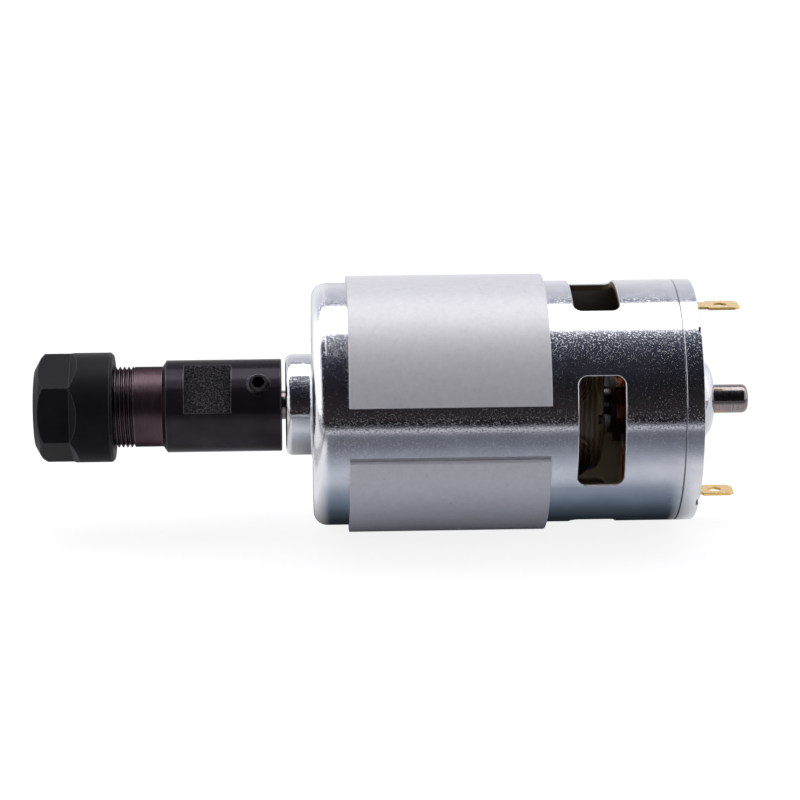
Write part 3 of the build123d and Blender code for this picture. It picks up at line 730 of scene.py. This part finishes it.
def black_oxide(name, black, brown):
    """Black oxide on worked steel: brown and thin in front of the shoulder, black behind it."""
    material, place = new_material(name)
    along = add_node(material, "Mapping", {"Vector": place, "Scale": (1, 0.03, 0.03)})
    lines = add_node(
        material, "TexNoise", {"Vector": along.outputs[0], "Scale": 1 / TURNING_LINE, "Detail": 3.0}
    )
    cloud = add_node(material, "TexNoise", {"Vector": place, "Scale": 1 / OXIDE_CLOUD, "Detail": 3.0})
    sand = add_node(
        material,
        "TexNoise",
        {"Vector": place, "Scale": 1 / MILLING_GRAIN, "Detail": 3.0, "Roughness": 0.7},
    )
    axes = add_node(material, "SeparateXYZ", {"Vector": place})
    across = add_node(material, "CombineXYZ", {"Y": axes.outputs["Y"], "Z": axes.outputs["Z"]})
    depth = add_node(material, "VectorMath", {0: across.outputs[0]}, operation="LENGTH")
    below_skin = add_node(
        material,
        "MapRange",
        {
            "Value": depth.outputs["Value"],
            "From Min": HOLDER_RADIUS - FLAT_FULL,
            "From Max": HOLDER_RADIUS - FLAT_BEGINS,
            "To Min": 1.0,
            "To Max": 0.0,
        },
    )
    behind = add_node(
        material,
        "MapRange",
        {
            "Value": axes.outputs["X"],
            "From Min": SHOULDER - SHOULDER_FADE,
            "From Max": SHOULDER + SHOULDER_FADE,
        },
    )
    milled = add_node(
        material, "Math", {0: below_skin.outputs[0], 1: behind.outputs[0]}, operation="MULTIPLY"
    )
    dark = add_node(
        material, "ValToRGB", {"Fac": cloud.outputs["Fac"]}, stops=((0.3, black[0]), (0.7, black[1]))
    )
    warm = add_node(
        material, "ValToRGB", {"Fac": cloud.outputs["Fac"]}, stops=((0.3, brown[0]), (0.7, brown[1]))
    )
    skin = add_node(
        material,
        "Mix",
        {"Factor": behind.outputs[0], UNDER: warm.outputs["Color"], OVER: dark.outputs["Color"]},
        data_type="RGBA",
    )
    sandy = add_node(
        material,
        "ValToRGB",
        {"Fac": sand.outputs["Fac"]},
        stops=((0.36, "#111014"), (0.5, "#212025"), (0.64, "#59575e")),
    )
    faced = add_node(
        material,
        "Mix",
        {"Factor": milled.outputs[0], UNDER: skin.outputs[MIXED], OVER: sandy.outputs["Color"]},
        data_type="RGBA",
    )
    # Edges painted grey: partly wear and partly a painted highlight.
    tint = add_node(
        material,
        "Mix",
        {"Factor": edge_wear_and_glint(material), UNDER: faced.outputs[MIXED], OVER: linear("#7d777d")},
        data_type="RGBA",
    )
    thin = add_node(
        material,
        "MapRange",
        {"Value": behind.outputs[0], "To Min": NECK_METALLIC, "To Max": SKIN_METALLIC},
    )
    bare = add_node(
        material,
        "Math",
        {0: milled.outputs[0], 1: MILLED_METALLIC - SKIN_METALLIC, 2: thin.outputs[0]},
        operation="MULTIPLY_ADD",
    )
    dull = add_node(
        material,
        "MapRange",
        {
            "Value": lines.outputs["Fac"],
            "From Min": 0.3,
            "From Max": 0.7,
            "To Min": 0.13,
            "To Max": 0.23,
        },
    )
    matt_neck = add_node(
        material, "MapRange", {"Value": behind.outputs[0], "To Min": NECK_DULLNESS, "To Max": 0.0}
    )
    turned_dull = add_node(
        material, "Math", {0: dull.outputs[0], 1: matt_neck.outputs[0]}, operation="ADD"
    )
    sanded = add_node(
        material,
        "Math",
        {0: milled.outputs[0], 1: MILLED_DULLNESS, 2: turned_dull.outputs[0]},
        operation="MULTIPLY_ADD",
    )
    turned = add_node(material, "Bump", {"Height": lines.outputs["Fac"], "Distance": TURNING_DEPTH})
    grit = add_node(
        material, "Math", {0: milled.outputs[0], 1: sand.outputs["Fac"]}, operation="MULTIPLY"
    )
    relief = add_node(
        material,
        "Bump",
        {"Height": grit.outputs[0], "Distance": MILLING_DEPTH, "Normal": turned.outputs["Normal"]},
    )
    shader = add_node(
        material,
        "BsdfPrincipled",
        {
            "Base Color": tint.outputs[MIXED],
            "Metallic": bare.outputs[0],
            "Roughness": sanded.outputs[0],
            "Specular IOR Level": 0.3,
            "Specular Tint": linear("#7c7679"),
            "Normal": relief.outputs["Normal"],
        },
    )
    return close_material(material, shader)


holder_black = black_oxide("oiled_black_oxide", ("#2c292e", "#37333a"), ("#4c3e45", "#5e4d54"))
dress(holder_black, "collet_holder")

# Thread of the holder. A right-hand M14 fine thread, cut on the nose and blacked with it.
# Its crests catch the light as thin brown lines, and its last turn runs out into the neck.
PITCH = 0.75 * MM
THREAD_RADIUS = 7.0 * MM
THREAD_DEPTH = 0.46 * MM
THREAD_LENGTH = 9.4 * MM
CREST_WIDTH = 0.12 * MM
ROOT_WIDTH = 0.16 * MM
SINK = 0.1 * MM
STEPS_PER_TURN = 48


def ridge(start, length, radius, depth, pitch, crest, root, fade):
    """Closed helical ridge about X that runs out over its last stretch."""
    maker = bmesh.new()
    foot = radius - depth
    side = (pitch - crest - root) / 2
    outline = (
        (start, foot - SINK),
        (start, foot),
        (start + side, radius),
        (start + side + crest, radius),
        (start + 2 * side + crest, foot),
        (start + 2 * side + crest, foot - SINK),
    )
    corners = [maker.verts.new((x, -r, 0)) for x, r in outline]
    tooth = maker.faces.new(corners)
    turns = (length - pitch) / pitch
    bmesh.ops.spin(
        maker,
        geom=[tooth] + list(tooth.edges) + corners,
        axis=(1, 0, 0),
        dvec=(pitch / STEPS_PER_TURN, 0, 0),
        angle=turns * 2 * math.pi,
        steps=round(turns * STEPS_PER_TURN),
    )
    end = start + length
    for corner in maker.verts:
        if corner.co.x > end - fade:
            out = math.hypot(corner.co.y, corner.co.z)
            left = (end - corner.co.x) / fade
            kept = (foot - SINK + (out - foot + SINK) * left) / out
            corner.co.y *= kept
            corner.co.z *= kept
    bmesh.ops.recalc_face_normals(maker, faces=maker.faces)
    return maker


holder_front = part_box("collet_holder")[0].x
thread = ridge(
    holder_front,
    THREAD_LENGTH + PITCH,
    THREAD_RADIUS,
    THREAD_DEPTH,
    PITCH,
    CREST_WIDTH,
    ROOT_WIDTH,
    fade=PITCH,
)
add_piece("holder_thread", thread, holder_black, "rotor")

# Grub screws. Two M4 screws with a hexagon socket hold the holder on the shaft; each stands a little
# proud of it. Blacked like the holder, with a turned chamfer and a cut thread.
SCREW_LENGTH = 6.4 * MM
SCREW_RADIUS = 2.0 * MM
SCREW_PITCH = 0.7 * MM
SCREW_THREAD_DEPTH = 0.36 * MM
SCREW_CREST = 0.1 * MM
SCREW_ROOT = 0.12 * MM
SCREW_CHAMFER = 0.35 * MM
SCREW_MARK_DEPTH = 0.01 * MM
SCREW_SEGMENTS = 24
SOCKET_SIDES = 6
SOCKET_CORNER = 1.155 * MM
SOCKET_DEPTH = 2.2 * MM


def screw_loop(screw, segments, radius, place):
    """Closed loop of edges round X, one step of the screw's outline."""
    facing = Matrix.Translation((place, 0, 0)) @ Matrix.Rotation(math.pi / 2, 4, "Y")
    made = bmesh.ops.create_circle(screw, segments=segments, radius=radius, matrix=facing)["verts"]
    return list({edge for corner in made for edge in corner.link_edges})


def grub_screw():
    """Threaded screw along +X from the origin, with its socket at the far end."""
    screw = bmesh.new()
    core = SCREW_RADIUS - SCREW_THREAD_DEPTH
    steps = (
        (SOCKET_SIDES, SOCKET_CORNER, SCREW_LENGTH - SOCKET_DEPTH),
        (SOCKET_SIDES, SOCKET_CORNER, SCREW_LENGTH),
        (SCREW_SEGMENTS, core - SCREW_CHAMFER / 2, SCREW_LENGTH),
        (SCREW_SEGMENTS, core, SCREW_LENGTH - SCREW_CHAMFER),
        (SCREW_SEGMENTS, core, SCREW_CHAMFER),
        (SCREW_SEGMENTS, core - SCREW_CHAMFER, 0),
    )
    loops = [screw_loop(screw, *step) for step in steps]
    for near_loop, far_loop in zip(loops, loops[1:]):
        bmesh.ops.bridge_loops(screw, edges=near_loop + far_loop)
    bmesh.ops.contextual_create(screw, geom=loops[0])
    bmesh.ops.contextual_create(screw, geom=loops[-1])
    join_into(
        screw,
        ridge(
            SCREW_CHAMFER / 2,
            SCREW_LENGTH - SCREW_CHAMFER,
            SCREW_RADIUS,
            SCREW_THREAD_DEPTH,
            SCREW_PITCH,
            SCREW_CREST,
            SCREW_ROOT,
            fade=SCREW_PITCH / 2,
        ),
    )
    bmesh.ops.recalc_face_normals(screw, faces=screw.faces)
    return screw


screw_black = worked_metal(
    "blacked_screw_steel",
    "#1d1b1e",
    "#4a474b",
    roughness=0.35,
    mark_size=TURNING_LINE,
    stretch=(1, 1, 1),
    depth=SCREW_MARK_DEPTH,
)
for side in ("near", "far"):
    low, high = (Vector(corner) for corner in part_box(f"set_screw_{side}"))
    middle = (low + high) / 2
    out = Vector((0, middle.y, middle.z)).normalized()
    screw = grub_screw()
    standing = out.to_track_quat("X", "Z").to_matrix().to_4x4()
    at_foot = Matrix.Translation(middle - out * SCREW_LENGTH / 2)
    bmesh.ops.transform(screw, matrix=at_foot @ standing, verts=screw.verts)
    piece = add_piece(f"grub_screw_{side}", screw, screw_black, "rotor")
    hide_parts(f"set_screw_{side}")

# Collet. Spring steel, turned and ground, and slotted from both ends so that it closes on a tool.
# It sits in the holder's taper behind the nut and is as smooth and grey as the clips.
dress(spring_steel, "collet")

# Clamping nut. Milled and turned steel with a dry black oxide, a soft even black.
# Its rounded edges are painted with thin grey lines, partly wear and partly a painted highlight.
NUT_GRAIN = 0.3 * MM
NUT_GRAIN_DEPTH = 0.006 * MM
EDGE_METALLIC = 0.6


def dry_oxide():
    """Black oxide without oil: dull, with a fine grain and edges painted grey, partly wear and partly a
    painted highlight.
    """
    material, place = new_material("dry_black_oxide")
    grain = add_node(material, "TexNoise", {"Vector": place, "Scale": 1 / NUT_GRAIN, "Detail": 3.0})
    cloud = add_node(material, "TexNoise", {"Vector": place, "Scale": 1 / OXIDE_CLOUD, "Detail": 3.0})
    tint = add_node(
        material, "ValToRGB", {"Fac": cloud.outputs["Fac"]}, stops=((0.3, "#121115"), (0.7, "#1a191d"))
    )
    edge = edge_wear_and_glint(material)
    # Edges painted grey: partly wear and partly a painted highlight.
    rubbed_and_glinting = add_node(
        material,
        "Mix",
        {"Factor": edge, UNDER: tint.outputs["Color"], OVER: linear("#8a858b")},
        data_type="RGBA",
    )
    bright = add_node(material, "MapRange", {"Value": edge, "To Min": 0.0, "To Max": EDGE_METALLIC})
    relief = add_node(material, "Bump", {"Height": grain.outputs["Fac"], "Distance": NUT_GRAIN_DEPTH})
    shader = add_node(
        material,
        "BsdfPrincipled",
        {
            "Base Color": rubbed_and_glinting.outputs[MIXED],
            "Metallic": bright.outputs[0],
            "Roughness": 0.5,
            "Specular IOR Level": 0.11,
            "Normal": relief.outputs["Normal"],
        },
    )
    return close_material(material, shader)


dress(dry_oxide(), "collet_nut")

# Studio. A long softbox overhead that hangs a little lower past the left end, a white panel at each end,
# a dark room on the camera's side and a pale table. The softbox burns out in mirrors, and matt surfaces
# get a weak fill that mirrors don't show.
FLOOR_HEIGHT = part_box("flux_ring")[0].z
FLOOR_SIZE = 8.0
ROOM_LIGHT = 2.0
FILL_LIGHT = 0.03
SOFTBOX_FROM = 87.5
SOFTBOX_TO = 121
SOFTBOX_GLARE = 1.2
SOFTBOX_LEAN = 24 / 360
# Where the lean and the end panels begin and are full, as a direction's part along the spindle.
LEAN_BEGINS = (-0.042, -0.056)
LEAN_ENDS = (-0.13, -0.11)
END_PANELS = ((-0.55, -0.75), (0.5, 0.7))


def on_ramp(degrees):
    """Place of a direction's elevation, measured from -Y over the top, on the room's ramp."""
    return degrees / 360 + 0.5


world = bpy.data.worlds.new("studio_room")
world.use_nodes = True
world.node_tree.nodes.clear()
bpy.context.scene.world = world
direction = add_node(world, "TexCoord").outputs["Generated"]
parts = add_node(world, "SeparateXYZ", {"Vector": direction})
front = add_node(world, "Math", {0: parts.outputs["Y"], 1: -1.0}, operation="MULTIPLY")
angle = add_node(world, "Math", {0: parts.outputs["Z"], 1: front.outputs[0]}, operation="ARCTAN2")
turn = add_node(
    world, "Math", {0: angle.outputs[0], 1: 1 / (2 * math.pi), 2: 0.5}, operation="MULTIPLY_ADD"
)
lean = add_node(
    world,
    "MapRange",
    {
        "Value": parts.outputs["X"],
        "From Min": LEAN_BEGINS[0],
        "From Max": LEAN_BEGINS[1],
        "To Max": SOFTBOX_LEAN,
    },
)
ahead = add_node(
    world,
    "MapRange",
    {"Value": parts.outputs["X"], "From Min": LEAN_ENDS[0], "From Max": LEAN_ENDS[1]},
)
leant = add_node(
    world,
    "Math",
    {0: lean.outputs[0], 1: ahead.outputs[0], 2: turn.outputs[0]},
    operation="MULTIPLY_ADD",
)
room = add_node(
    world,
    "ValToRGB",
    {"Fac": leant.outputs[0]},
    stops=(
        (0.0, "#aeaeb3"),
        (on_ramp(-160), "#aeaeb3"),
        (on_ramp(-12), "#332c2d"),
        (on_ramp(5), "#221e20"),
        (on_ramp(30), "#141417"),
        (on_ramp(54), "#202027"),
        (on_ramp(66), "#2b2c35"),
        (on_ramp(76), "#41434e"),
        (on_ramp(84), "#60626d"),
        (on_ramp(SOFTBOX_FROM), "#ffffff"),
        (on_ramp(SOFTBOX_TO), "#ffffff"),
        (on_ramp(123), "#5a5c66"),
        (on_ramp(127), "#7f818c"),
        (on_ramp(132), "#a0a1a8"),
        (on_ramp(158), "#aeaeb3"),
        (on_ramp(166), "#b6b6ba"),
        (1.0, "#b6b6ba"),
    ),
)
softbox = add_node(
    world,
    "Math",
    {
        0: leant.outputs[0],
        1: on_ramp((SOFTBOX_FROM + SOFTBOX_TO) / 2),
        2: (SOFTBOX_TO - SOFTBOX_FROM) / 2 / 360,
    },
    operation="COMPARE",
)
to_left, to_right = (
    add_node(world, "MapRange", {"Value": parts.outputs["X"], "From Min": begins, "From Max": full})
    for begins, full in END_PANELS
)
to_end = add_node(
    world, "Math", {0: to_left.outputs[0], 1: to_right.outputs[0]}, operation="MAXIMUM"
)
panel = add_node(
    world,
    "Mix",
    {"Factor": to_end.outputs[0], UNDER: room.outputs["Color"], OVER: linear("#d2d2d6")},
    data_type="RGBA",
)
rays = add_node(world, "LightPath")
fill = add_node(
    world, "Math", {0: rays.outputs["Is Diffuse Ray"], 1: FILL_LIGHT}, operation="MULTIPLY"
)
glare = add_node(
    world, "Math", {0: softbox.outputs[0], 1: rays.outputs["Is Glossy Ray"]}, operation="MULTIPLY"
)
strength = add_node(
    world, "Math", {0: glare.outputs[0], 1: SOFTBOX_GLARE, 2: ROOM_LIGHT}, operation="MULTIPLY_ADD"
)
mirrored = add_node(
    world, "Background", {"Color": panel.outputs[MIXED], "Strength": strength.outputs[0]}
)
extra = add_node(world, "Background", {"Color": linear("#d4dcf2"), "Strength": fill.outputs[0]})
lit = add_node(world, "AddShader", {0: mirrored.outputs[0], 1: extra.outputs[0]})
white = add_node(world, "Background", {"Color": (1, 1, 1, 1), "Strength": 1.0})
both = add_node(
    world,
    "MixShader",
    {"Fac": rays.outputs["Is Camera Ray"], 1: lit.outputs[0], 2: white.outputs[0]},
)
add_node(world, "OutputWorld", {"Surface": both.outputs[0]})

# Table. White paper under the ring, bright to the camera and matt to other surfaces.
# Mirrors see it as a ramp of tones in front of the spindle with a painted shadow under the spindle,
# painted light where an end panel shows in it, and a painted shadow by the nut.
TABLE_NEAR = 260
TABLE_FAR = 60
# Where the panels show, from begun to full: along the spindle, then across it.
LEFT_LIGHT = ((3 * MM, -11 * MM), (-110 * MM, -60 * MM))
RIGHT_LIGHT = ((62 * MM, 66.5 * MM), (-46 * MM, -26 * MM))
NUT_MIDDLE = -40 * MM
NUT_SHADE_FULL = 8 * MM
NUT_SHADE_END = 14 * MM
NUT_SHADE_LIGHT = 0.55
TABLE_GLOW = 0.86

table = bmesh.new()
bmesh.ops.create_grid(table, x_segments=1, y_segments=1, size=FLOOR_SIZE / 2)
bmesh.ops.translate(table, verts=table.verts, vec=(0, 0, FLOOR_HEIGHT))
floor_mesh = bpy.data.meshes.new("table_top")
table.to_mesh(floor_mesh)
table.free()
floor = bpy.data.objects.new("table_top", floor_mesh)
bpy.context.scene.collection.objects.link(floor)

paper, place = new_material("white_paper")
rays = add_node(paper, "LightPath")
axes = add_node(paper, "SeparateXYZ", {"Vector": place})
towards = add_node(
    paper,
    "MapRange",
    {"Value": axes.outputs["Y"], "From Min": -TABLE_NEAR * MM, "From Max": TABLE_FAR * MM},
)


def on_table(distance):
    """Place on the table's ramp of a distance in front of the spindle axis, in millimetres."""
    return (TABLE_NEAR - distance) / (TABLE_NEAR + TABLE_FAR)


# Painted light: tones that fall off towards the camera, a painted bright strip 140 to 172 mm out, and a
# painted shadow of the spindle, darkest from 7 mm in front of its axis to 12 mm behind it.
painted_table_light = add_node(
    paper,
    "ValToRGB",
    {"Fac": towards.outputs[0]},
    stops=(
        (on_table(250), "#211e20"),
        (on_table(200), "#3e3c3f"),
        (on_table(172), "#e4e4ea"),
        (on_table(140), "#dcdce4"),
        (on_table(118), "#84858f"),
        (on_table(88), "#73757f"),
        (on_table(64), "#7f828d"),
        (on_table(50), "#9a9eaa"),
        (on_table(40), "#b8bcc8"),
        (on_table(31), "#d8dbe4"),
        (on_table(26), "#cfd3de"),
        (on_table(21.5), "#9da4b2"),
        (on_table(17), "#748292"),
        (on_table(12), "#47515c"),
        (on_table(7), "#23282e"),
        (on_table(-12), "#23282e"),
        (on_table(-45), "#b8babf"),
    ),
)
# Painted light: the table is painted paler where an end panel shows in it.
end_lights = []
for along, across in (LEFT_LIGHT, RIGHT_LIGHT):
    by_length = add_node(
        paper, "MapRange", {"Value": axes.outputs["X"], "From Min": along[0], "From Max": along[1]}
    )
    by_depth = add_node(
        paper, "MapRange", {"Value": axes.outputs["Y"], "From Min": across[0], "From Max": across[1]}
    )
    end_light = add_node(
        paper, "Math", {0: by_length.outputs[0], 1: by_depth.outputs[0]}, operation="MULTIPLY"
    )
    end_lights.append(end_light.outputs[0])
beside = add_node(paper, "Math", {0: end_lights[0], 1: end_lights[1]}, operation="MAXIMUM")
# Painted shadow: the table is painted darker within 14 mm of the nut's middle.
from_nut = add_node(paper, "Math", {0: axes.outputs["X"], 1: -NUT_MIDDLE}, operation="ADD")
off_nut = add_node(paper, "Math", {0: from_nut.outputs[0]}, operation="ABSOLUTE")
painted_nut_shadow = add_node(
    paper,
    "MapRange",
    {
        "Value": off_nut.outputs[0],
        "From Min": NUT_SHADE_FULL,
        "From Max": NUT_SHADE_END,
        "To Min": NUT_SHADE_LIGHT,
        "To Max": 1.0,
    },
)
mirror_colour = add_node(
    paper,
    "Mix",
    {"Factor": beside.outputs[0], UNDER: painted_table_light.outputs["Color"], OVER: linear("#f2f2f4")},
    data_type="RGBA",
)
matt = add_node(paper, "BsdfDiffuse", {"Color": linear("#bcbcbe")})
seen_matt = add_node(paper, "BsdfDiffuse", {"Color": linear("#7e7e80")})
glow = add_node(paper, "Emission", {"Color": (1, 1, 1, 1), "Strength": TABLE_GLOW})
lift = add_node(paper, "AddShader", {0: seen_matt.outputs[0], 1: glow.outputs[0]})
in_mirror = add_node(
    paper, "Emission", {"Color": mirror_colour.outputs[MIXED], "Strength": painted_nut_shadow.outputs[0]}
)
by_mirror = add_node(
    paper,
    "MixShader",
    {"Fac": rays.outputs["Is Glossy Ray"], 1: matt.outputs[0], 2: in_mirror.outputs[0]},
)
mix = add_node(
    paper,
    "MixShader",
    {"Fac": rays.outputs["Is Camera Ray"], 1: by_mirror.outputs[0], 2: lift.outputs[0]},
)
floor_mesh.materials.append(close_material(paper, mix))

# Camera. A long lens about half a metre away, a little to the left and sixteen degrees up, which sees
# the spindle almost from its side.
AIM = Vector((15.3, 0, 0)) * MM
AIM_RISE = 0.55 * MM
AZIMUTH = math.radians(-2.18)
ELEVATION = math.radians(16)
ROLL = math.radians(-0.2)
DISTANCE = 480 * MM
LENS = 124
SENSOR_WIDTH = 36
NEAR_LIMIT = 10 * MM

away = Vector((
    math.sin(AZIMUTH) * math.cos(ELEVATION),
    -math.cos(AZIMUTH) * math.cos(ELEVATION),
    math.sin(ELEVATION),
))
turned_to = away.to_track_quat("Z", "Y").to_matrix()
camera_data = bpy.data.cameras.new("camera")
camera_data.lens = LENS
camera_data.sensor_width = SENSOR_WIDTH
camera_data.clip_start = NEAR_LIMIT
camera = bpy.data.objects.new("camera", camera_data)
bpy.context.scene.collection.objects.link(camera)
rise = turned_to @ Vector((0, 1, 0))
place_at = AIM + rise * AIM_RISE + away * DISTANCE
camera.matrix_world = (
    Matrix.Translation(place_at) @ turned_to.to_4x4() @ Matrix.Rotation(ROLL, 4, "Z")
)
bpy.context.scene.camera = camera
bpy.context.scene.view_settings.view_transform = "Standard"
